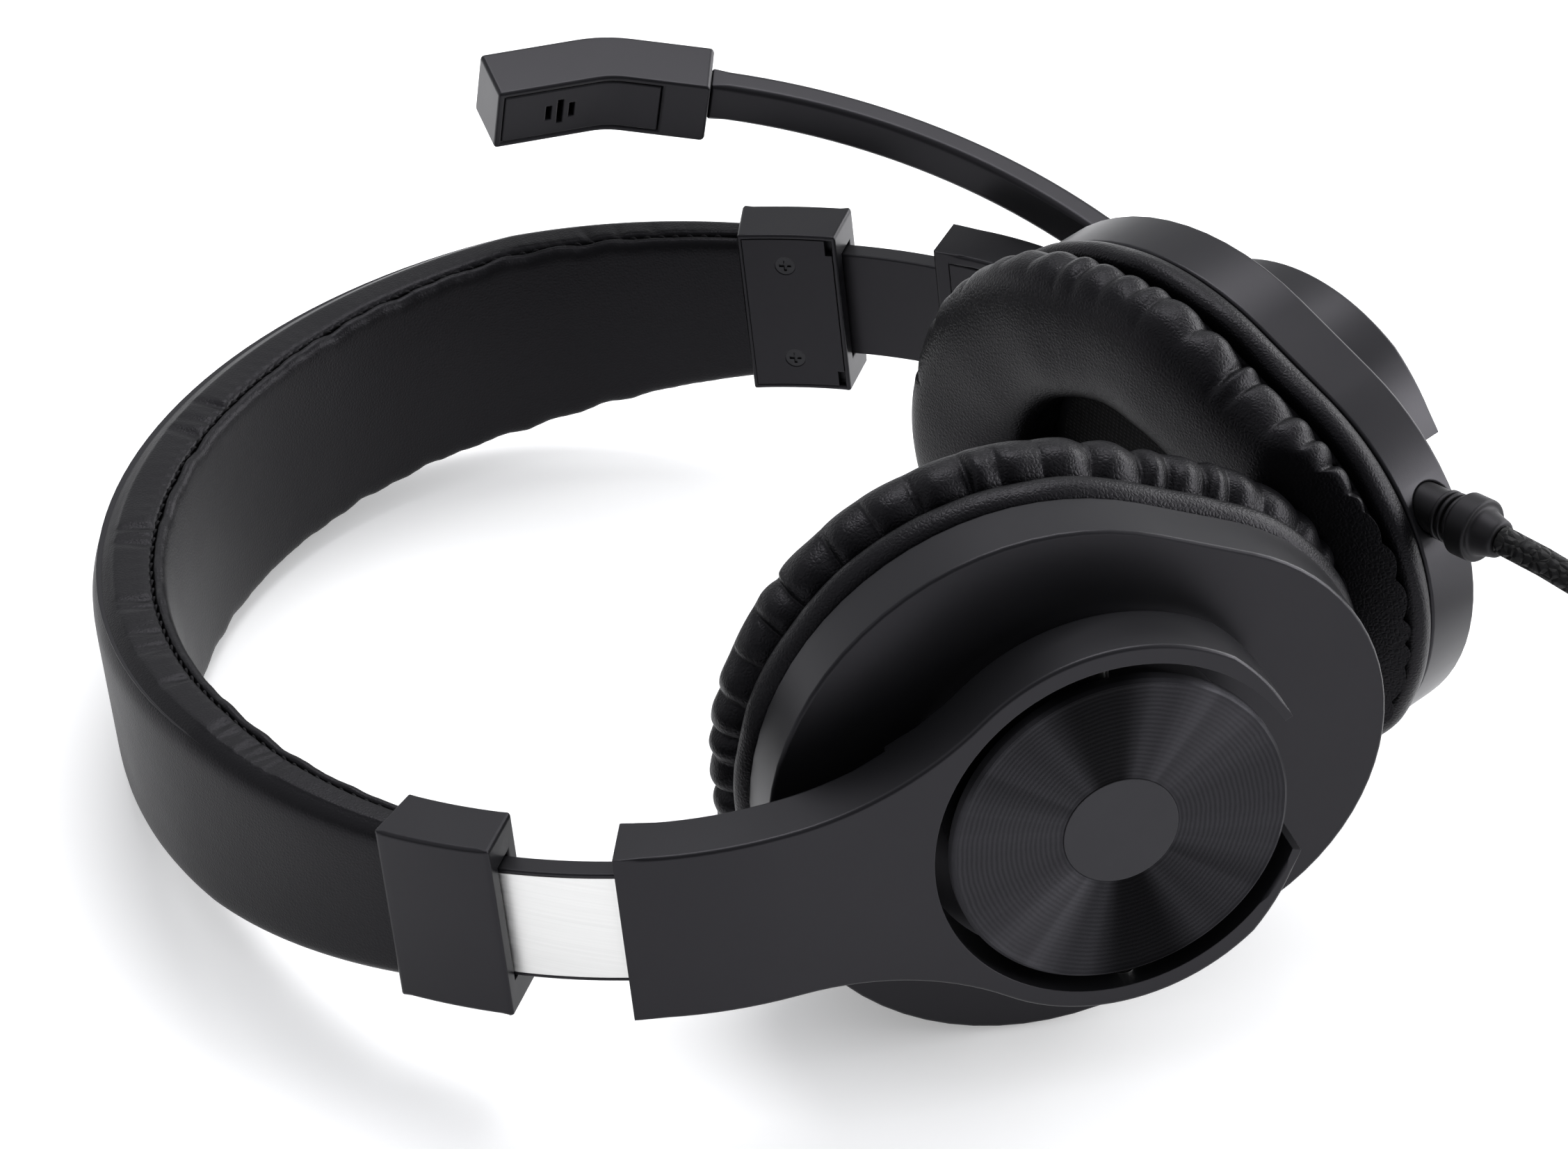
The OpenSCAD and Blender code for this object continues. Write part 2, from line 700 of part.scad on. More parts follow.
module cord_coil() color(BLACK) translate([coil_x, coil_y, 0])
  rotate_extrude($fn = 120) translate([coil_mid - coil_w / 2, 0]) square([coil_w, coil_h]);

// Hook-and-loop tie round one side of the coil.
module cord_tie() color(SATIN) translate([coil_x, coil_y, 0]) difference() {
  translate([coil_mid - coil_w / 2 - 1.5, -5, 0]) cube([coil_w + 3, 10, coil_h + 1.5]);
  translate([0, 0, -1]) rotate_extrude($fn = 120)
    translate([coil_mid - coil_w / 2, 0]) square([coil_w, coil_h + 1]);
}

module plug_shell() color(BLACK) translate([plug_x, plug_y, plug_r]) rotate([-90, 0, 0]) {
  cylinder(r1 = 2.8, r2 = 3.6, h = 9, $fn = 48);
  translate([0, 0, 9]) cylinder(r = plug_r, h = 19, $fn = 64);
}

module plug_contact() color(BRASS) translate([plug_x, plug_y + 28, plug_r]) rotate([-90, 0, 0]) {
  cylinder(r = 1.75, h = 12, $fn = 48);
  translate([0, 0, 12]) cylinder(r1 = 1.75, r2 = 0.7, h = 2, $fn = 48);
}

spring_strip();
band_liner();
outer_cover();
inner_pad();
clamp(-1);  // clamp_near
clamp(1);  // clamp_far
clamp_cover(-1);  // clamp_cover_near
clamp_cover(1);  // clamp_cover_far
clamp_screws();
slider_detents();
slider(-1);  // slider_near
slider_plate(-1);  // slider_plate_near
yoke(-1);  // yoke_near
yoke_cover(-1);  // yoke_cover_near
yoke_screws(-1);  // yoke_screws_near
slider(1);  // slider_far
slider_plate(1);  // slider_plate_far
yoke(1);  // yoke_far
yoke_cover(1);  // yoke_cover_far
yoke_screws(1);  // yoke_screws_far
housing(-1);  // housing_near
hub(-1);  // hub_near
disc_near();
badge(-1);  // badge_near
pivot_pins(-1);  // pivot_pins_near
baffle(-1);  // baffle_near
driver_frame(-1);  // driver_frame_near
driver_magnet(-1);  // driver_magnet_near
diaphragm(-1);  // diaphragm_near
speaker_cloth(-1);  // speaker_cloth_near
baffle_screws(-1);  // baffle_screws_near
cushion_skirt(-1);  // cushion_skirt_near
cushion(-1);  // cushion_near
housing(1);  // housing_far
hub(1);  // hub_far
pivot_pins(1);  // pivot_pins_far
baffle(1);  // baffle_far
driver_frame(1);  // driver_frame_far
driver_magnet(1);  // driver_magnet_far
diaphragm(1);  // diaphragm_far
speaker_cloth(1);  // speaker_cloth_far
baffle_screws(1);  // baffle_screws_far
cushion_skirt(1);  // cushion_skirt_far
cushion(1);  // cushion_far
circuit_board();
strain_relief();
boom_disc();
badge(1);  // badge_far
boom_clip();
boom_arm();
mic_shell();
mic_cover();
mic_capsule();
cord_tube();
cord_lead();
cord_coil();
cord_tie();
plug_shell();
plug_contact();
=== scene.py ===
"""Looks for a gaming headset that lies on its side: leatherette, metals, plastic and a braided cord."""
import json
import math
import random

import bmesh
import bpy
from mathutils import Matrix, Vector, kdtree, noise
from mathutils.bvhtree import BVHTree


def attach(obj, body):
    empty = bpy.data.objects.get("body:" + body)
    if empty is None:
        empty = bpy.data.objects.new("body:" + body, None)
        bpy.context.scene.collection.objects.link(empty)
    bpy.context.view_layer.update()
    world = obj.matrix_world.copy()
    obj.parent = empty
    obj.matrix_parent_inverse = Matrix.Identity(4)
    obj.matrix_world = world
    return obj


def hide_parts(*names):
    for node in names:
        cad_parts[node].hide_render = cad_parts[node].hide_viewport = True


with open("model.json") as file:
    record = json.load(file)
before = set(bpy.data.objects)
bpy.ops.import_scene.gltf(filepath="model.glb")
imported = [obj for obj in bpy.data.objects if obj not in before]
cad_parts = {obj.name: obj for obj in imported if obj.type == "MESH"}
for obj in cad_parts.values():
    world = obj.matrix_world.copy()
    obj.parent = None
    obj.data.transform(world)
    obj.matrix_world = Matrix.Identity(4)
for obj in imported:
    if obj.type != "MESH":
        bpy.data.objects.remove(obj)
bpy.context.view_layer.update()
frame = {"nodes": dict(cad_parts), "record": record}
MM = 0.001
TAU = 2 * math.pi
JOINTS = {j["name"]: j for j in frame["record"]["behaviour"]["joints"]}

# ---- frames: the head frame leans on the floor, and each cup has one of its own ----

AXIS_Z = Vector(JOINTS["slide_far"]["axis"]).normalized()
AXIS_Y = Vector((0, 1, 0))
AXIS_X = AXIS_Y.cross(AXIS_Z).normalized()
# where the slide arc's centre lies along the head frame's X, in mm
ARC_X = 24.5
HEAD_ORIGIN = Vector(JOINTS["slide_far"]["pos_m"]) - AXIS_X * ARC_X * MM


def frame_matrix(origin, x, y, z):
    """Turns millimetres along x, y and z from origin into metres in the row frame."""
    m = Matrix((x, y, z)).transposed().to_4x4()
    m.translation = origin
    return m @ Matrix.Diagonal((MM, MM, MM, 1))


HEAD = frame_matrix(HEAD_ORIGIN, AXIS_X, AXIS_Y, AXIS_Z)


def head_dir(x, y, z):
    return AXIS_X * x + AXIS_Y * y + AXIS_Z * z


# from a cup's pivot out to its disc's face, in mm
PIN_OFF = 5
# each cup's turn about the head's Z, in degrees
CUP_YAW = {"near": 34.5, "far": 29.0}
# the side of the head frame's Y that each cup is on
SIGN = {"near": -1, "far": 1}


def cup_matrix(side):
    """A cup's own frame, with its origin on the disc's face.

    X runs along the cup towards the chin, Y outward from the head and Z towards the front."""
    yaw, s = math.radians(CUP_YAW[side]), SIGN[side]
    out = head_dir(math.sin(yaw), s * math.cos(yaw), 0)
    along = head_dir(math.cos(yaw), -s * math.sin(yaw), 0)
    pivot = Vector(JOINTS["tilt_" + side]["pos_m"])
    return frame_matrix(pivot + out * PIN_OFF * MM, along, out, AXIS_Z)


CUP = {side: cup_matrix(side) for side in SIGN}


def add_object(name, data):
    new = bpy.data.objects.new(name, data)
    bpy.context.scene.collection.objects.link(new)
    return new


# ---- camera: angles in degrees and the target in mm, both in the head frame, and the distance in metres ----

CAMERA_AZIMUTH = 21.27
CAMERA_ELEVATION = 34.10
CAMERA_ROLL = -6.75
CAMERA_TARGET = (37.82, 4.79, 0.35)
CAMERA_DISTANCE = 0.93075
CAMERA_LENS = 137.65
CAMERA_CLIP_END = 50


def make_camera():
    az, el, roll = (math.radians(a) for a in (CAMERA_AZIMUTH, CAMERA_ELEVATION, CAMERA_ROLL))
    back = Vector((math.sin(az) * math.cos(el), -math.cos(az) * math.cos(el), math.sin(el)))
    level = Vector((math.cos(az), math.sin(az), 0))
    right = level * math.cos(roll) + back.cross(level) * math.sin(roll)
    axes = [head_dir(*right), head_dir(*back.cross(right)), head_dir(*back)]
    camera = add_object("camera", bpy.data.cameras.new("camera"))
    camera.matrix_world = Matrix(axes).transposed().to_4x4()
    camera.location = HEAD @ Vector(CAMERA_TARGET) + axes[2] * CAMERA_DISTANCE
    camera.data.lens = CAMERA_LENS
    camera.data.clip_end = CAMERA_CLIP_END
    bpy.context.scene.camera = camera


make_camera()

# ---- materials ----

# the faint violet of black plastic and leatherette under white light
COOL = (0.93, 0.9, 1.0, 1)
# direction of the dark wedges of painted reflection in the turned discs' colour, in degrees anticlockwise from
# the crown-to-chin line
PAINTED_WEDGE_ANGLE = 95


class Shader:
    """A node material with short ways to add and join nodes."""

    def __init__(self, name, color, roughness, **inputs):
        self.material = bpy.data.materials.new(name)
        self.material.use_nodes = True
        self.tree = self.material.node_tree
        self.bsdf = self.tree.nodes["Principled BSDF"]
        self.set(self.bsdf, {"Base Color": (*color, 1), "Roughness": roughness, **inputs})

    def set(self, node, values):
        for key, value in values.items():
            node.inputs[key].default_value = value

    def node(self, kind, options=None, **values):
        n = self.tree.nodes.new("ShaderNode" + kind)
        for key, value in (options or {}).items():
            setattr(n, key, value)
        self.set(n, {key.replace("_", " "): value for key, value in values.items()})
        return n

    def link(self, source, target):
        self.tree.links.new(source, target)

    def coords(self, scale=(1, 1, 1), turn=(0, 0, 0)):
        mapping = self.node("Mapping", Scale=scale, Rotation=turn)
        self.link(self.node("TexCoord").outputs["Object"], mapping.inputs["Vector"])
        return mapping.outputs["Vector"]

    def noise(self, vector, scale, detail=2.0, rough=0.5):
        n = self.node("TexNoise", Scale=scale, Detail=detail, Roughness=rough)
        self.link(vector, n.inputs["Vector"])
        return n.outputs["Fac"]

    def cells(self, vector, scale):
        n = self.node("TexVoronoi", {"feature": "DISTANCE_TO_EDGE"}, Scale=scale)
        self.link(vector, n.inputs["Vector"])
        return n.outputs["Distance"]

    def span(self, fac, low, high, start=0.0, end=1.0):
        n = self.node("MapRange", From_Min=start, From_Max=end, To_Min=low, To_Max=high)
        self.link(fac, n.inputs["Value"])
        return n.outputs["Result"]

    def calc(self, operation, *values):
        """A math node over values that are outputs or numbers."""
        n = self.node("Math", {"operation": operation})
        for k, value in enumerate(values):
            if isinstance(value, bpy.types.NodeSocket):
                self.link(value, n.inputs[k])
            else:
                n.inputs[k].default_value = value
        return n.outputs["Value"]

    def shade(self, fac, color, low, high):
        """Base colour from low times the colour, where fac is 0, to high times it, where fac is 1."""
        n = self.node("Mix", {"data_type": "RGBA"})
        n.inputs["A"].default_value = (*(c * low for c in color), 1)
        n.inputs["B"].default_value = (*(min(1, c * high) for c in color), 1)
        self.link(fac, n.inputs["Factor"])
        self.link(n.outputs["Result"], self.bsdf.inputs["Base Color"])

    def bumps(self, *layers, bevel=0.0):
        """Each layer is (height, strength, distance in metres)."""
        normal = None
        if bevel:
            normal = self.node("Bevel", {"samples": 4}, Radius=bevel).outputs["Normal"]
        for height, strength, distance in layers:
            n = self.node("Bump", Strength=strength, Distance=distance)
            self.link(height, n.inputs["Height"])
            if normal:
                self.link(normal, n.inputs["Normal"])
            normal = n.outputs["Normal"]
        self.link(normal, self.bsdf.inputs["Normal"])


def moulded_plastic(name, color, roughness=0.34, bevel=0.0002):
    """Satin moulding: fine spark texture, slow gloss changes and slightly worn edges."""
    m = Shader(name, color, roughness, **{"Specular IOR Level": 0.23, "Specular Tint": COOL})
    where = m.coords()
    m.link(m.span(m.noise(where, 55, 4), roughness - 0.06, roughness + 0.07), m.bsdf.inputs["Roughness"])
    m.shade(m.noise(where, 90, 3), color, 0.88, 1.14)
    m.bumps((m.noise(where, 5200, 1), 0.12, 0.00004), bevel=bevel)
    return m.material


def leatherette(name, color, roughness=0.44, grain=1250, depth=0.00011):
    """Pebbled grain of closed cells over soft creases, glossier where it's stretched."""
    m = Shader(name, color, roughness, **{"Specular IOR Level": 0.15, "Specular Tint": COOL})
    where = m.coords()
    pebbles = m.span(m.cells(where, grain), 0, 1, 0.0, 0.32)
    pores = m.noise(where, 3600, 2)
    creases = m.noise(where, 130, 3, 0.6)
    m.link(m.span(m.noise(where, 45, 4), roughness - 0.09, roughness + 0.09), m.bsdf.inputs["Roughness"])
    m.shade(m.noise(where, 70, 5), color, 0.8, 1.2)
    m.bumps((creases, 0.16, 0.0003), (pebbles, 0.34, depth), (pores, 0.1, 0.00004))
    return m.material


def brushed_metal(name, color, roughness, lean):
    """Straight brush marks, long and fine, that lean by an angle in degrees about Y."""
    m = Shader(name, color, roughness, **{"Metallic": 1.0, "Anisotropic": 0.55})
    marks = m.noise(m.coords((26, 26, 2600), turn=(0, math.radians(lean), 0)), 1.0, 3)
    m.link(m.span(marks, roughness - 0.1, roughness + 0.14), m.bsdf.inputs["Roughness"])
    m.shade(marks, color, 0.86, 1.08)
    m.bumps((marks, 0.1, 0.00003), bevel=0.00015)
    return m.material


def painted_fan(m):
    """Painted reflection: 1 over most of a turned face, falling to 0 in two opposite dark wedges, with faint
    painted streaks between.
    """
    split = m.node("SeparateXYZ")
    m.link(m.coords(), split.inputs["Vector"])
    angle = m.calc("ARCTAN2", split.outputs["Y"], split.outputs["X"])
    wave = m.calc("COSINE", m.calc("MULTIPLY_ADD", angle, 2.0, -2 * math.radians(PAINTED_WEDGE_ANGLE)))
    wedge = m.node("MapRange", {"interpolation_type": "SMOOTHSTEP"},
                   From_Min=0.72, From_Max=0.98, To_Min=1.0, To_Max=0.0)
    m.link(wave, wedge.inputs["Value"])
    streaks = m.node("TexNoise", {"noise_dimensions": "1D"}, Scale=2.2, Detail=3)
    m.link(wave, streaks.inputs["W"])
    return m.calc("MULTIPLY", wedge.outputs["Result"], m.span(streaks.outputs["Fac"], 0.55, 1.0, 0.3, 0.7))


def turned_metal(name, color, roughness):
    """A face turned on a lathe: fine circles, and highlights that spread out from the middle, which the base
    colour also paints in as light sectors between two dark wedges.
    """
    m = Shader(name, color, roughness, **{"Metallic": 1.0, "Anisotropic": 0.97, "Anisotropic Rotation": 0.25})
    tangent = m.node("Tangent", {"direction_type": "RADIAL", "axis": "Z"})
    m.link(tangent.outputs["Tangent"], m.bsdf.inputs["Tangent"])
    rings = m.node("TexWave", {"wave_type": "RINGS", "rings_direction": "Z", "wave_profile": "SIN"},
                   Scale=420, Distortion=2.5, Detail=3, Detail_Scale=0.6)
    m.link(m.coords(), rings.inputs["Vector"])
    m.link(m.span(rings.outputs["Fac"], roughness - 0.05, roughness + 0.08), m.bsdf.inputs["Roughness"])
    # painted reflection: the base colour runs from dark in the wedges to light between them
    m.shade(painted_fan(m), color, 0.3, 1.3)
    m.bumps((rings.outputs["Fac"], 0.06, 0.00003))
    return m.material


def plain_metal(name, color, roughness):
    m = Shader(name, color, roughness, **{"Metallic": 1.0})
    where = m.coords()
    m.link(m.span(m.noise(where, 400, 3), roughness - 0.08, roughness + 0.1), m.bsdf.inputs["Roughness"])
    m.bumps((m.noise(where, 1800, 2), 0.08, 0.00005), bevel=0.0001)
    return m.material


def woven_cloth(name, color, pitch=0.0007):
    """A fine square weave of two crossed waves."""
    m = Shader(name, color, 0.85, **{"Sheen Weight": 0.06, "Specular IOR Level": 0.2})
    where = m.coords()
    threads = []
    for direction in ("X", "Z"):
        wave = m.node("TexWave", {"bands_direction": direction}, Scale=0.31 / pitch, Distortion=0.6)
        m.link(where, wave.inputs["Vector"])
        threads.append(wave.outputs["Fac"])
    cross = m.calc("MULTIPLY", *threads)
    m.shade(cross, color, 0.5, 1.5)
    m.bumps((cross, 0.6, 0.0002))
    return m.material


def braid(name, color):
    """A braided sleeve: small raised strands, with painted shade darkening the gaps between them."""
    m = Shader(name, color, 0.55, **{"Specular IOR Level": 0.2})
    where = m.coords()
    strands_and_painted_gap_shade = m.span(m.cells(where, 620), 0, 1, 0.0, 0.3)
    # painted shade: the colour is darkest in the gaps between the strands
    m.shade(strands_and_painted_gap_shade, color, 0.3, 1.5)
    m.bumps((strands_and_painted_gap_shade, 0.8, 0.0003), (m.noise(where, 3000, 2), 0.15, 0.00005))
    return m.material


def film(name, color):
    m = Shader(name, color, 0.25, **{"Coat Weight": 0.4})
    m.bumps((m.noise(m.coords(), 900, 2), 0.1, 0.00005))
    return m.material


BLACK = (0.006, 0.006, 0.0068)
PLASTIC = moulded_plastic("satin_black", BLACK)
HIDDEN_PLASTIC = moulded_plastic("hidden_plastic", (0.009, 0.009, 0.01), 0.5)
CENTRE = moulded_plastic("disc_centre", (0.022, 0.022, 0.024), 0.6)
RUBBER = moulded_plastic("soft_rubber", (0.003, 0.003, 0.003), 0.5, 0.0003)
LEATHER = leatherette("leatherette", (0.002, 0.002, 0.0024), 0.4, 1500)
BAND_LEATHER = leatherette("band_leatherette", (0.003, 0.003, 0.0034), 0.42, 1700, 0.00006)
THREAD = leatherette("stitching", (0.004, 0.004, 0.0042), 0.7, 4000, 0.0001)
BRUSHED = brushed_metal("brushed_steel", (0.66, 0.66, 0.65), 0.32, 9.7)
TURNED = turned_metal("turned_disc", (0.029, 0.0285, 0.032), 0.5)
STEEL = plain_metal("plain_steel", (0.14, 0.14, 0.15), 0.35)
SCREW = plain_metal("dark_screw", (0.03, 0.03, 0.032), 0.35)
GOLD = plain_metal("plug_metal", (0.83, 0.65, 0.32), 0.22)
SPEAKER_CLOTH = woven_cloth("speaker_cloth", (0.006, 0.006, 0.0065))
TIE_CLOTH = woven_cloth("tie_cloth", (0.006, 0.006, 0.0065), 0.0012)
BRAID = braid("cord_braid", (0.004, 0.004, 0.0045))
FILM = film("diaphragm_film", (0.4, 0.33, 0.2))
BOARD = film("circuit_board", (0.02, 0.16, 0.06))

BY_SLOT = {
    "satin_black": PLASTIC, "hidden_plastic": HIDDEN_PLASTIC, "leatherette": LEATHER,
    "brushed_steel": BRUSHED, "dark_screw": SCREW, "turned_disc": TURNED, "disc_centre": CENTRE,
    "magnet_steel": STEEL, "diaphragm_film": FILM, "speaker_cloth": SPEAKER_CLOTH,
    "circuit_board": BOARD, "soft_rubber": RUBBER, "cord_braid": BRAID, "tie_fabric": TIE_CLOTH,
    "plug_metal": GOLD,
}


def dress_cad_nodes():
    """Gives every CAD node its slot's material."""
    for part in frame["record"]["subparts"]:
        data = frame["nodes"][part["node"]].data
        data.materials.clear()
        data.materials.append(BY_SLOT[part["material_slot"]])


dress_cad_nodes()

# ---- mesh helpers ----


def smooth_mesh(name, points, faces, material):
    data = bpy.data.meshes.new(name)
    data.from_pydata(points, [], faces)
    data.validate()
    data.materials.append(material)
    for polygon in data.polygons:
        polygon.use_smooth = True
    return data


def add_piece(name, points, faces, material, body, replaced=()):
    """Makes a mesh piece in the row frame that rides on a body and stands for CAD nodes."""
    piece = add_object(name, smooth_mesh(name, points, faces, material))
    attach(piece, body)
    if replaced:
        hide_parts(*replaced)
    return piece


def modify(piece, kind, **values):
    modifier = piece.modifiers.new(kind.lower(), kind)
    for key, value in values.items():
        setattr(modifier, key, value)


def subdivide(piece):
    modify(piece, "SUBSURF", levels=1, render_levels=1)


def grid_faces(rows, columns, close_rows, close_columns, flip=False):
    """Quads over a grid of points that are stored row by row."""
    faces = []
    for i in range(rows if close_rows else rows - 1):
        for j in range(columns if close_columns else columns - 1):
            a, b = i * columns + j, i * columns + (j + 1) % columns
            c, d = ((i + 1) % rows) * columns + (j + 1) % columns, ((i + 1) % rows) * columns + j
            faces.append((a, d, c, b) if flip else (a, b, c, d))
    return faces


def smoothstep(a, b, x):
    t = min(1.0, max(0.0, (x - a) / (b - a)))
    return t * t * (3 - 2 * t)


# ---- mouldings with real rounded edges, made from the CAD nodes' own shapes ----

BODY_OF = {node: body for body, nodes in frame["record"]["behaviour"]["bodies"].items() for node in nodes}
SLOT_OF = {part["node"]: part["material_slot"] for part in frame["record"]["subparts"]}
# the width of each moulding's rounded edges, in mm
ROUNDING = {
    "clamp_near": 0.8, "clamp_far": 0.8,
    "slider_near": 0.35, "slider_far": 0.35, "yoke_near": 0.6, "yoke_far": 0.6,
    "yoke_cover_near": 0.2, "yoke_cover_far": 0.2, "housing_near": 0.6, "housing_far": 0.6,
    "hub_near": 0.4, "hub_far": 0.4, "boom_disc": 0.5, "boom_arm": 1.1, "mic_shell": 1.5,
    "mic_cover": 0.3, "strain_relief": 0.4,
}
# edges with at least this turn between their faces are rounded
SHARP = math.radians(32)
# the part of the room beside an edge that its rounding may take
SHARE = 0.42
# a point further off the CAD shape than this part of the rounding's width is a fault
FAULT_SHARE = 0.45
# the most times that roundings are taken off near faults, and how near in mm: at first, and more each time
EASINGS = 6
EASE_REACH, EASE_GROWTH = 1.2, 0.6
# points closer than this, in metres, are one
DOUBLED = 2e-6
# faces that turn by less than this are one flat face
FLAT = math.radians(0.04)
# edges of the rounded mesh with more turn than this stay sharp
CREASE = math.radians(40)


def corner_room(edge, sharp):
    """Widest rounding that the corners of an edge's faces leave space for."""
    room = math.inf
    for loop in edge.link_loops:
        ends = ((loop.link_loop_prev.edge, loop.vert), (loop.link_loop_next.edge, edge.other_vert(loop.vert)))
        for other, corner in ends:
            along = edge.other_vert(corner).co - corner.co
            aside = other.other_vert(corner).co - corner.co
            angle = along.angle(aside, 0.0)
            if other in sharp:
                room = min(room, along.length * math.tan(min(angle, 3.1) / 2))
            else:
                room = min(room, aside.length * math.sin(angle))
    return room


def edge_widths(mesh, width):
    """Gives the sharp edges bevel weights that keep each rounding clear of the others beside it."""
    layer = mesh.edges.layers.float.new("bevel_weight_edge")
    sharp = [e for e in mesh.edges if len(e.link_faces) == 2 and e.calc_face_angle(0) > SHARP]
    sharp_set = set(sharp)
    samples = []
    for edge in sharp:
        a, b = (v.co for v in edge.verts)
        count = max(1, int((b - a).length / (0.5 * width)))
        samples += [a.lerp(b, (k + 0.5) / count) for k in range(count)]
    tree = kdtree.KDTree(len(samples))
    for k, place in enumerate(samples):
        tree.insert(place, k)
    tree.balance()
    for edge in sharp:
        a, b = (v.co for v in edge.verts)
        along = (b - a).normalized()
        room = width / SHARE
        for f in (0.2, 0.5, 0.8):
            place = a.lerp(b, f)
            for found, _, _ in tree.find_range(place, room):
                gap = found - place
                side = (gap - along * gap.dot(along)).length
                # what lies beside the edge counts, and what lies along it or on it doesn't
                if side > 0.6 * gap.length and side > 0.04 * MM:
                    room = min(room, side)
        edge[layer] = SHARE * min(room, corner_room(edge, sharp_set)) / width


def bevelled(piece):
    """The piece's evaluated mesh, as an edit mesh."""
    data = bpy.data.meshes.new_from_object(piece.evaluated_get(bpy.context.evaluated_depsgraph_get()))
    mesh = bmesh.new()
    mesh.from_mesh(data)
    bpy.data.meshes.remove(data)
    return mesh


def faults(mesh, shape, limit):
    """Places on the CAD shape beside the points and triangles that a bevel threw off it."""
    thrown = [v.co.copy() for v in mesh.verts if shape.find_nearest(v.co)[3] > limit]
    flat = mesh.copy()
    bmesh.ops.triangulate(flat, faces=flat.faces)
    middles = [f.calc_center_median() for f in flat.faces]
    middles += [e.verts[0].co.lerp(e.verts[1].co, 0.5) for e in flat.edges]
    flat.free()
    thrown += [p for p in middles if shape.find_nearest(p)[3] > limit]
    return [shape.find_nearest(p)[0] for p in thrown]


def ease(data, places, reach):
    """Takes the rounding off the edges near the given places."""
    weights = data.attributes["bevel_weight_edge"].data
    for edge in data.edges:
        a, b = (data.vertices[v].co for v in edge.vertices)
        for place in places:
            if min((a - place).length, (b - place).length, (a.lerp(b, 0.5) - place).length) < reach:
                weights[edge.index].value = 0.0


def eased_bevel(piece, shape, width):
    """The piece's bevelled mesh, after roundings have been taken off until nothing is thrown off the shape."""
    rounded = bevelled(piece)
    for attempt in range(EASINGS):
        places = faults(rounded, shape, FAULT_SHARE * width)
        if not places:
            break
        ease(piece.data, places, (EASE_REACH + EASE_GROWTH * attempt) * MM)
        piece.update_tag()
        piece.data.update()
        bpy.context.view_layer.update()
        rounded.free()
        rounded = bevelled(piece)
    return rounded


def round_edges(node, width):
    """A copy of a CAD node with its sharp edges rounded, which stands for the node."""
    mesh = bmesh.new()
    mesh.from_mesh(frame["nodes"][node].data)
    bmesh.ops.remove_doubles(mesh, verts=mesh.verts, dist=DOUBLED)
    bmesh.ops.dissolve_limit(mesh, angle_limit=FLAT, verts=mesh.verts, edges=mesh.edges)
    edge_widths(mesh, width)
    shape = BVHTree.FromBMesh(mesh)
    data = bpy.data.meshes.new("rounded_" + node)
    mesh.to_mesh(data)
    mesh.free()
    data.materials.append(BY_SLOT[SLOT_OF[node]])
    piece = add_object("rounded_" + node, data)
    modify(piece, "BEVEL", width=width, segments=4, limit_method="WEIGHT", use_clamp_overlap=False)
    rounded = eased_bevel(piece, shape, width)
    piece.modifiers.clear()
    bmesh.ops.remove_doubles(rounded, verts=rounded.verts, dist=DOUBLED)
    for face in rounded.faces:
        face.smooth = True
    for edge in rounded.edges:
        edge.smooth = not (len(edge.link_faces) == 2 and edge.calc_face_angle(0) > CREASE)
    rounded.to_mesh(data)
    rounded.free()
    modify(piece, "WEIGHTED_NORMAL", keep_sharp=True)
    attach(piece, BODY_OF[node])
    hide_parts(node)


for rounded_node, rounding in ROUNDING.items():
    round_edges(rounded_node, rounding * MM)

# ---- cord, in mm in the row frame ----

CORD_D = 4.5
# from inside the strain relief to the coil, and from the coil to inside the plug
ROUTE = [
    (103.4, 9.1, 67.9), (106.9, 7.2, 68.4), (115, 3.4, 68.9), (124, 0.6, 67), (133, -1.2, 62.5),
    (141, -3, 55), (147.5, -5, 46), (153, -7.5, 36), (158, -10.5, 26), (164, -14.5, 16.5),
    (171.5, -19, 9), (181, -24, 4), (191, -27.8, 2.4), (201, -31, 2.4),
]
LEAD = [
    (208, 26.8, 16), (200, 26.7, 15), (193.1, 28.1, 12.7), (187.3, 32, 9.4), (183.4, 37.8, 6.4),
    (182, 44.7, 4.7), (182, 48, 4.3),
]
COIL_CENTRE = (212, -3)
COIL_COLUMNS = (29.7, 25.0, 20.3)
COIL_PITCH = 4.6
COIL_LAYERS = 4
# the angles round the coil where the cord comes in, goes out and steps from one turn to the next, in degrees
COIL_START, COIL_END = -104, 96
COIL_JOG = 170
JOG_HALF = 22
COIL_STEP = 10


def coil_points():
    """Turns laid beside each other, each stepping to the next place at the same side of the coil."""
    places = []
    for layer in range(COIL_LAYERS):
        columns = COIL_COLUMNS if layer % 2 == 0 else COIL_COLUMNS[::-1]
        places += [(r, CORD_D / 2 + 0.1 + COIL_PITCH * layer) for r in columns]
    last = COIL_END + 360 * (len(places) - 1)
    points = []
    angle = COIL_START
    while angle <= last:
        turn = math.floor((angle - COIL_JOG + 180) / 360)
        step = smoothstep(-JOG_HALF, JOG_HALF, angle - COIL_JOG - 360 * turn)
        a, b = places[min(turn, len(places) - 1)], places[min(turn + 1, len(places) - 1)]
        r, z = (a[k] + (b[k] - a[k]) * step for k in (0, 1))
        t = math.radians(angle)
        points.append((COIL_CENTRE[0] + r * math.cos(t), COIL_CENTRE[1] + r * math.sin(t), z))
        angle += COIL_STEP
    return points


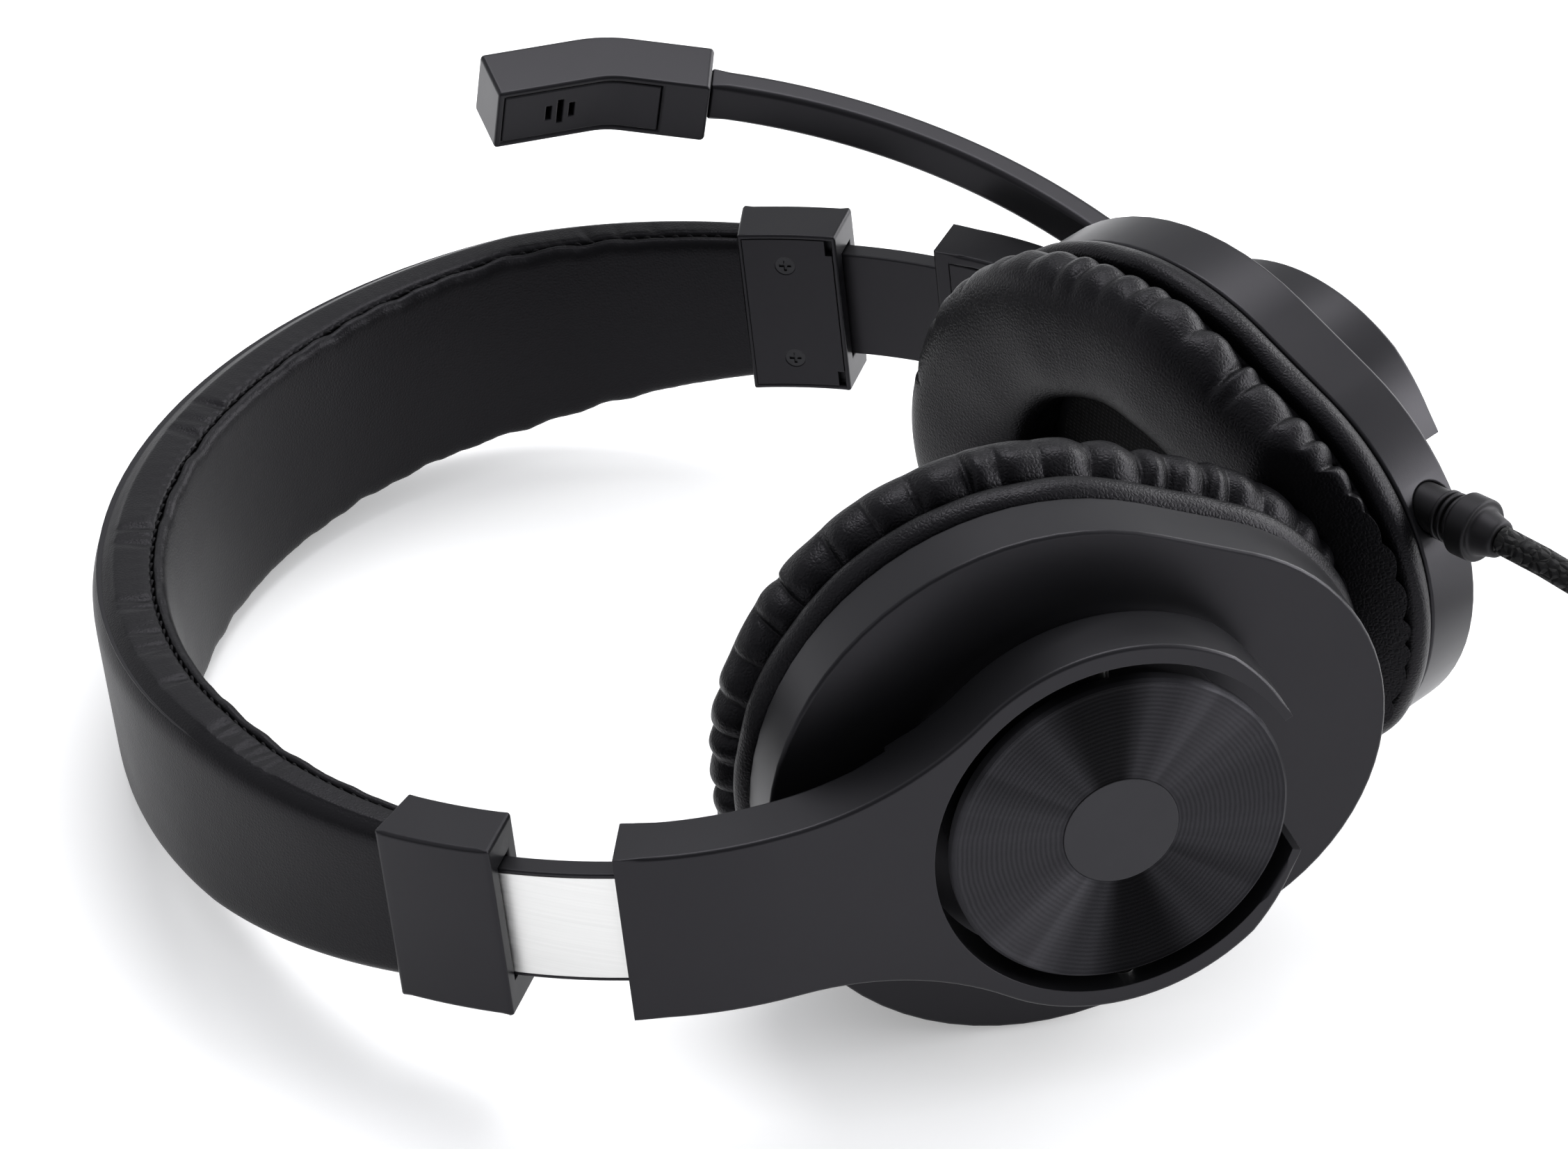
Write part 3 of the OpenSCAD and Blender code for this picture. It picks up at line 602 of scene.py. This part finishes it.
def make_cord():
    route = [Vector(p) * MM for p in ROUTE[1:-1] + coil_points() + LEAD[1:]]
    data = bpy.data.curves.new("cord", "CURVE")
    data.dimensions = "3D"
    spline = data.splines.new("NURBS")
    spline.points.add(len(route) - 1)
    for place, point in zip(spline.points, route):
        place.co = (*point, 1)
    spline.order_u = 4
    spline.use_endpoint_u = True
    data.resolution_u = 3
    data.bevel_depth = CORD_D / 2 * MM
    data.bevel_resolution = 4
    data.use_fill_caps = True
    data.materials.append(BRAID)
    cord = add_object("cord", data)
    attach(cord, "cup_far")
    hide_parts("cord_tube", "cord_lead", "cord_coil")


make_cord()

# ---- ear-cup outline: a wide arc at the crown's end and a narrow one at the chin's ----

# the arcs' radii, and their centres along the cup, in mm
EGG_R = (43.3, 35.3)
EGG_C = (-5.8, 11.6)
EGG_POINTS = 760


def egg_outline(count):
    """Evenly spaced (u, z, outward u, outward z) round the housing's outline, and the outline's length."""
    turn = math.acos((EGG_R[0] - EGG_R[1]) / (EGG_C[1] - EGG_C[0]))
    fine = []
    for k in range(4 * count):
        t = TAU * k / (4 * count) - math.pi
        r, c = (EGG_R[1], EGG_C[1]) if abs(t) < turn else (EGG_R[0], EGG_C[0])
        fine.append((c + r * math.cos(t), r * math.sin(t), math.cos(t), math.sin(t)))
    lengths = [0.0]
    for a, b in zip(fine, fine[1:] + fine[:1]):
        lengths.append(lengths[-1] + math.hypot(a[0] - b[0], a[1] - b[1]))
    out, j = [], 0
    for k in range(count):
        s = lengths[-1] * k / count
        while lengths[j + 1] < s:
            j += 1
        f = (s - lengths[j]) / max(1e-9, lengths[j + 1] - lengths[j])
        a, b = fine[j], fine[(j + 1) % len(fine)]
        p = [a[i] + (b[i] - a[i]) * f for i in range(4)]
        n = math.hypot(p[2], p[3])
        out.append((p[0], p[1], p[2] / n, p[3] / n))
    return out, lengths[-1]


EGG, EGG_LENGTH = egg_outline(EGG_POINTS)

# ---- ear cushions and their skirts ----

# how deep inside the disc's face the housing's wall ends and the cushion starts, in mm
WALL_OFF = 24.4
SKIRT_END = 29.4

# the soft rolls press flat against each other, midway between the cups, and on the floor:
# a point on each plane, the way into it, and the gap kept to it in mm
MEET_TURN = math.radians((CUP_YAW["near"] - CUP_YAW["far"]) / 2)
MEET_POINT = HEAD @ Vector((122.1, 6.4, 0))
MEET_NORMAL = head_dir(-math.sin(MEET_TURN), math.cos(MEET_TURN), 0)
FLOOR_CONTACT = (Vector((0, 0, 0)), Vector((0, 0, -1)), 0.1)
CONTACTS = {side: ((MEET_POINT, -s * MEET_NORMAL, 0.15), FLOOR_CONTACT) for side, s in SIGN.items()}
PRESS_SOFTNESS = 0.5 * MM


def press(point, side):
    """Moves a soft point back behind its contact planes, with an easy start."""
    for origin, normal, gap in CONTACTS[side]:
        past = (point - origin).dot(normal) + gap * MM
        if past > -6 * PRESS_SOFTNESS:
            held = -PRESS_SOFTNESS * math.log1p(math.exp(-past / PRESS_SOFTNESS))
            point = point + normal * (held - past)
    return point


def loft_on_cup(name, side, section, replaced):
    """Sweeps a closed section of (outward shift, depth) points round the outline, in soft leatherette.

    section is a function of the place's index that returns the points, in millimetres."""
    rows = []
    for i, (u, z, nu, nz) in enumerate(EGG):
        rows.append([(u + g * nu, -d, z + g * nz) for g, d in section(i)])
    columns = len(rows[0])
    points = [press(CUP[side] @ Vector(p), side) for row in rows for p in row]
    faces = grid_faces(len(rows), columns, True, True, flip=side == "near")
    piece = add_piece(name, points, faces, LEATHER, "cup_" + side, replaced)
    subdivide(piece)
    return piece


# above 1 the lobes lean towards the next crease
PLEAT_LEAN = 1.35


class Pleats:
    """Gathers round a cushion: rounded lobes of uneven width with a sharp crease between each two."""

    def __init__(self, seed, count, depth):
        rng = random.Random(seed)
        widths = [rng.uniform(0.62, 1.4) for _ in range(count)]
        scale = EGG_LENGTH / sum(widths)
        self.creases = [0.0]
        for w in widths:
            self.creases.append(self.creases[-1] + w * scale)
        self.depth = [depth * rng.uniform(0.45, 1.15) for _ in range(count + 1)]
        self.reach = [rng.uniform(0.35, 1.0) for _ in range(count + 1)]
        self.slant = [rng.uniform(-1.6, 1.6) for _ in range(count + 1)]
        self.depth[-1], self.reach[-1], self.slant[-1] = self.depth[0], self.reach[0], self.slant[0]
        self.seed = seed

    def pull(self, x, up):
        """How far the skin is drawn in at x along the outline.

        up goes from 0 at the seam to 1 on the face."""
        x = x % EGG_LENGTH
        k = min(len(self.creases) - 2, max(0, sum(c <= x for c in self.creases) - 1))
        a = self.creases[k] + self.slant[k] * up
        b = self.creases[k + 1] + self.slant[k + 1] * up
        t = min(0.999, max(0.001, (x - a) / (b - a)))
        lobe = math.sin(math.pi * t ** PLEAT_LEAN) ** 0.6
        depth = self.depth[k] * (1 - t) + self.depth[k + 1] * t
        reach = self.reach[k] * (1 - t) + self.reach[k + 1] * t
        fade = 1 - smoothstep(0.1 + 0.25 * reach, 0.5 + 0.5 * reach, up)
        fine = noise.noise(Vector((x * 0.55, up * 1.5, self.seed)))
        return (depth * (1 - lobe) + 0.3 * fine * (1 - 0.5 * lobe)) * fade


# the roll's middle, as outward shift and depth, its half width and half height, and the degrees it spans
ROLL_G, ROLL_D = -9.3, 35.6
ROLL_W, ROLL_H = 11.2, 5.9
ROLL_FROM, ROLL_SPAN = -64, 262
ROLL_STEPS = 40
# the seam's angle, and the angles from it to the top of the face and to the end of the pleats, in radians
SEAM_ANGLE, FACE_SPAN, PLEAT_SPAN = -1.12, 2.5, 2.3


def roll_section(pleats, x, swell):
    """The padded roll's section, from the skirt's seam over the face and down into the opening."""
    points = [(-3.4, WALL_OFF + 2.2), (-1.2, SKIRT_END - 0.6)]
    for k in range(ROLL_STEPS + 1):
        t = math.radians(ROLL_FROM + ROLL_SPAN * k / ROLL_STEPS)
        c, s = math.cos(t), math.sin(t)
        g = ROLL_G + ROLL_W * math.copysign(abs(c) ** 0.78, c)
        d = ROLL_D + ROLL_H * math.copysign(abs(s) ** 0.82, s)
        up = smoothstep(0, 1, (t - SEAM_ANGLE) / FACE_SPAN)
        outer = smoothstep(ROLL_G + 1, ROLL_G + 8, g)
        draw = pleats.pull(x, (t - SEAM_ANGLE) / PLEAT_SPAN)
        g += 0.5 * swell * outer + (1.1 - draw) * outer * (1 - 0.6 * up)
        d += 0.4 * swell * up - 0.6 * draw * up
        points.append((g, d))
    return points + [(-20.0, WALL_OFF + 4.6), (-20.1, WALL_OFF + 2.2)]


def make_cushion(side, seed, count, depth):
    """The padded roll, with count gathers of about the given depth at its seam."""
    pleats = Pleats(seed, count, depth)
    step = EGG_LENGTH / EGG_POINTS

    def section(i):
        u, z = EGG[i][0], EGG[i][1]
        swell = noise.noise(Vector((u * 0.07, z * 0.07, seed)))
        return roll_section(pleats, i * step, swell)

    piece = loft_on_cup("ear_cushion_" + side, side, section, ("cushion_" + side,))


def make_skirt(side, seed):
    """A plain leatherette band between the housing and the cushion, tucked under at both edges."""
    def section(i):
        u, z = EGG[i][0], EGG[i][1]
        wave = 0.35 * noise.noise(Vector((u * 0.12, z * 0.12, seed)))
        return [(-2.4, WALL_OFF - 0.1), (-1.0, WALL_OFF), (-0.1, WALL_OFF + 0.25),
                (0.75 + 0.4 * wave, WALL_OFF + 1.2), (1.25 + wave, WALL_OFF + 2.6),
                (1.2 + wave, SKIRT_END - 1.2), (0.6 + wave, SKIRT_END - 0.2), (-0.6, SKIRT_END + 0.2),
                (-3.2, SKIRT_END), (-3.2, WALL_OFF + 1)]

    loft_on_cup("skirt_" + side, side, section, ("cushion_skirt_" + side,))


for cup_side, cup_seed, pleat_count, pleat_depth in (("near", 4, 46, 2.9), ("far", 9, 52, 2.3)):
    make_skirt(cup_side, cup_seed)
    make_cushion(cup_side, cup_seed, pleat_count, pleat_depth)

# ---- headband ----

# the outer circle's radius and its centre's X, and the radius of the pad's face about the slide arc's centre
BAND_R, BAND_X = 87.0, 19.0
PAD_R = 80.3
# half the band's height from the crown to TAPER_X, and at BAND_END_X
BAND_HALF, BAND_END_HALF = 17.0, 13.8
TAPER_X, BAND_END_X = -30.0, 6.0
# the angle where the band leaves the clamps, in degrees
CLAMP_END = 101.9
BAND_STEPS = 560
STITCHES = 96
# how far outside the pad's face the stitched seam runs
SEAM_OUT = 2.0


def band_half(x):
    """Half height of the band at a place, which falls in a straight line towards the clamps."""
    t = max(0.0, (x - TAPER_X) / (BAND_END_X - TAPER_X))
    return BAND_HALF - (BAND_HALF - BAND_END_HALF) * t


def band_place(k):
    """Unit direction from the slide arc's centre, and the distance to the outer circle along it."""
    a = math.radians(CLAMP_END + (360 - 2 * CLAMP_END) * k / BAND_STEPS)
    c, s = math.cos(a), math.sin(a)
    shift = ARC_X - BAND_X
    return c, s, math.sqrt(BAND_R ** 2 - (shift * s) ** 2) - shift * c


def end_share(k):
    """How far a step is from the nearer end, as a part of the band's length."""
    return min(k, BAND_STEPS - k) / BAND_STEPS


def loft_on_band(name, section, replaced, capped):
    """Sweeps a closed section along the band, in soft leatherette.

    section is a function of the step, the outer radius and the half height, and returns (radius, z) points."""
    rows = []
    for k in range(BAND_STEPS + 1):
        c, s, outer = band_place(k)
        half = band_half(ARC_X + outer * c)
        rows.append([(ARC_X + r * c, r * s, z) for r, z in section(k, outer, half)])
    columns = len(rows[0])
    points = [HEAD @ Vector(p) for row in rows for p in row]
    faces = grid_faces(len(rows), columns, False, True)
    if capped:
        faces.append(tuple(range(columns)))
        faces.append(tuple(reversed(range(len(points) - columns, len(points)))))
    piece = add_piece(name, points, faces, BAND_LEATHER, "headband", replaced)
    subdivide(piece)
    return piece


def stitch_wave(k):
    """1 at each stitch and 0 between two, at a step along the band."""
    return 0.5 - 0.5 * math.cos(TAU * k / BAND_STEPS * STITCHES)


def cover_tucks():
    """(step, weight, lean) of the folds in the cover, which come in bunches of four."""
    rng = random.Random(5)
    bunches = [rng.uniform(0.06, 0.94) * BAND_STEPS for _ in range(9)]
    return [(b + rng.uniform(-16, 16), rng.uniform(0.25, 1.0), rng.uniform(-5, 5))
            for b in bunches for _ in range(4)]


def make_outer_cover():
    """The cover: full outer face, soft shoulders and side bands that gather towards the stitched seam.

    Its ends stay open, as the sliders run into it."""
    tucks = cover_tucks()
    seam = PAD_R + SEAM_OUT

    def tuck(k, away):
        """Depth of the folds at a step along the band; away goes from 0 at the seam to 1 at the shoulder."""
        folds = [w * math.exp(-((k - t - lean * away) / 2.2) ** 2) for t, w, lean in tucks]
        return max(folds) * (1 - away) ** 1.5

    def half_section(k, outer, half):
        """(radius, height) from the outer face over the shoulder and down the side to the seam."""
        calm = smoothstep(0.0, 0.04, end_share(k))
        wave = 0.3 * noise.noise(Vector((k * 0.035, 0.0, 2.0))) * calm
        pucker = 0.14 * stitch_wave(k) * calm
        top = half - 0.1
        thick = outer - seam
        bend = 0.5 * thick
        line = []
        for turn in (math.radians(t) for t in (0, 20, 40, 60, 80)):
            line.append((outer - bend * (1 - math.cos(turn)), top - bend * (1 - math.sin(turn))))
        for away in (0.6, 0.4, 0.2, 0.07):
            fold = 0.75 * tuck(k, away) * calm
            gather = wave * (1 - away) - fold - pucker * max(0.0, 1 - 4 * away)
            line.append((seam + away * thick, top + 0.1 + gather))
        return line + [(seam + 0.1, top - 0.35 - pucker), (seam, top - 1.0), (seam, top - 1.8)]

    def section(k, outer, half):
        upper = half_section(k, outer, half)
        face = [(outer, half * f) for f in (0.5, 0.2, -0.2, -0.5)]
        return upper[::-1] + face + [(r, -z) for r, z in upper]

    loft_on_band("band_cover", section, ("outer_cover",), False)


def make_inner_pad():
    """The padding: softly domed face, and puffed edges that turn over to the seam."""
    def section(k, outer, half):
        full = smoothstep(0.0, 0.05, end_share(k))
        lump = 0.3 * noise.noise(Vector((k * 0.022, 5.0, 0.0))) * full
        scallop = (0.55 * noise.noise(Vector((k * 0.085, 7.0, 0.0))) - 0.05 * stitch_wave(k)) * full
        top = half - 0.35 + scallop
        face = [(PAD_R - 0.1 - 0.5 * (1 - f * f) * (1 + lump), f * half)
                for f in (-0.8, -0.5, -0.2, 0.2, 0.5, 0.8)]
        over = [(PAD_R - 0.25, top - 2.2), (PAD_R - 0.05, top - 1.0), (PAD_R + 0.45, top - 0.3),
                (PAD_R + 1.1, top), (PAD_R + SEAM_OUT - 0.3, top - 0.3), (PAD_R + SEAM_OUT - 0.15, top - 1.4)]
        under = [(r, -z) for r, z in over[::-1]]
        back = [(PAD_R + SEAM_OUT + 0.4, z) for z in (top - 1.8, 1.8 - top)]
        return under + face + over + back

    piece = loft_on_band("band_pad", section, ("inner_pad",), True)


# each stitch is a short tube, in mm
STITCH_RADIUS = 0.26
STITCH_RINGS, STITCH_SIDES = 5, 6


def make_stitches():
    """Dashed thread along both edges of the band, one short slanted stitch after another."""
    points, faces = [], []
    stitch_faces = grid_faces(STITCH_RINGS, STITCH_SIDES, False, True)
    first = math.radians(CLAMP_END)
    pitch = (TAU - 2 * first) / STITCHES
    for z_sign in (1, -1):
        for k in range(1, STITCHES - 1):
            faces += [tuple(len(points) + v for v in face) for face in stitch_faces]
            for n in range(STITCH_RINGS):
                f = n / (STITCH_RINGS - 1) - 0.5
                a = first + pitch * (k + 0.5 + 0.62 * f)
                r = PAD_R + SEAM_OUT - 0.05 + 0.3 * f
                half = band_half(ARC_X + (PAD_R + 6) * math.cos(a))
                z = z_sign * (half - 0.62 - 0.35 * (2 * f) ** 2)
                fat = STITCH_RADIUS * (1 - 0.45 * (2 * f) ** 2)
                for t in (TAU * q / STITCH_SIDES for q in range(STITCH_SIDES)):
                    rr, zz = r + fat * math.cos(t), z + fat * math.sin(t)
                    points.append(HEAD @ Vector((ARC_X + rr * math.cos(a), rr * math.sin(a), zz)))
    add_piece("band_stitches", points, faces, THREAD, "headband")


make_outer_cover()
make_inner_pad()
make_stitches()

# ---- turned discs, in mm ----

DISC_R = 25.8
BADGE_R = 8.8
DISC_STEPS = 192
# (radius, height) from the centre's edge over the face and the raised rim, and back along the underside
DISC_PROFILE = [
    (BADGE_R, -0.5), (BADGE_R, -0.12), (BADGE_R + 0.25, 0.0), (DISC_R - 2.0, 0.0), (DISC_R - 0.9, 0.02),
    (DISC_R - 0.65, 0.1), (DISC_R - 0.5, 0.1), (DISC_R, -0.35), (DISC_R, -1.9), (DISC_R - 0.4, -2.0),
    (BADGE_R, -2.0),
]


def make_disc(name, side, body, node, lift):
    """A lathe-turned cap, lifted a little off its cup's disc face. Its own frame guides the texture."""
    points = []
    for angle in (TAU * k / DISC_STEPS for k in range(DISC_STEPS)):
        points += [Vector((r * math.cos(angle), r * math.sin(angle), h)) * MM for r, h in DISC_PROFILE]
    faces = grid_faces(DISC_STEPS, len(DISC_PROFILE), True, True)
    disc = add_object(name, smooth_mesh(name, points, faces, TURNED))
    cup = CUP[side].to_3x3()
    out = (cup @ Vector((0, 1, 0))).normalized()
    along = (cup @ Vector((1, 0, 0))).normalized()
    m = Matrix((along, out.cross(along), out)).transposed().to_4x4()
    m.translation = CUP[side].translation + out * lift * MM
    disc.matrix_world = m
    modify(disc, "EDGE_SPLIT", split_angle=math.radians(35))
    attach(disc, body)
    if node:
        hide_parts(node)


make_disc("turned_cap_near", "near", "cup_near", "disc_near", 0)
make_disc("turned_cap_far", "far", "mic_boom", None, 0.06)

# ---- stage, in metres ----

FLOOR_HALF = 6.0


def make_stage():
    data = bpy.data.meshes.new("floor")
    corners = [(x * FLOOR_HALF, y * FLOOR_HALF, 0) for x, y in ((-1, -1), (1, -1), (1, 1), (-1, 1))]
    data.from_pydata(corners, [], [(0, 1, 2, 3)])
    floor = add_object("floor", data)
    glow = {"Emission Color": (1.0, 1.0, 1.0, 1.0), "Emission Strength": 0.32}
    paper = Shader("studio_paper", (0.86, 0.86, 0.87), 0.55, **glow)
    paper.bumps((paper.noise(paper.coords(), 300, 2), 0.02, 0.0002))
    data.materials.append(paper.material)


def add_light(name, location, target, size, power):
    lamp = bpy.data.lights.new(name, "AREA")
    lamp.shape = "RECTANGLE"
    lamp.size, lamp.size_y = size
    lamp.energy = power
    light = add_object(name, lamp)
    light.location = location
    light.rotation_euler = (Vector(target) - Vector(location)).to_track_quat("-Z", "Y").to_euler()


def make_world():
    """A white studio that falls off to dark behind the camera."""
    world = bpy.data.worlds.new("studio")
    world.use_nodes = True
    tree = world.node_tree
    background = tree.nodes["Background"]
    coords = tree.nodes.new("ShaderNodeTexCoord")
    split = tree.nodes.new("ShaderNodeSeparateXYZ")
    tree.links.new(coords.outputs["Generated"], split.inputs["Vector"])
    span = tree.nodes.new("ShaderNodeMapRange")
    span.interpolation_type = "SMOOTHSTEP"
    for key, value in (("From Min", -0.8), ("From Max", 0.1), ("To Min", 0.24), ("To Max", 0.85)):
        span.inputs[key].default_value = value
    tree.links.new(split.outputs["Y"], span.inputs["Value"])
    tree.links.new(span.outputs["Result"], background.inputs["Strength"])
    background.inputs["Color"].default_value = (0.96, 0.97, 1.0, 1)
    bpy.context.scene.world = world


def make_lights():
    # place and target in metres, then the size in metres and the power in watts
    add_light("key", (-0.2, 0.55, 1.25), (0, 0, 0.03), (0.9, 0.6), 12)
    add_light("back", (0.8, 1.0, 0.55), (0.06, 0.03, 0.04), (1.0, 0.7), 14)
    add_light("rim", (1.3, 0.3, 0.42), (0.08, 0.04, 0.04), (0.6, 0.7), 14)
    add_light("front", (-0.9, -1.0, 1.1), (0, 0, 0.03), (1.0, 0.8), 2)


make_stage()
make_world()
make_lights()
bpy.context.scene.view_settings.view_transform = "Standard"
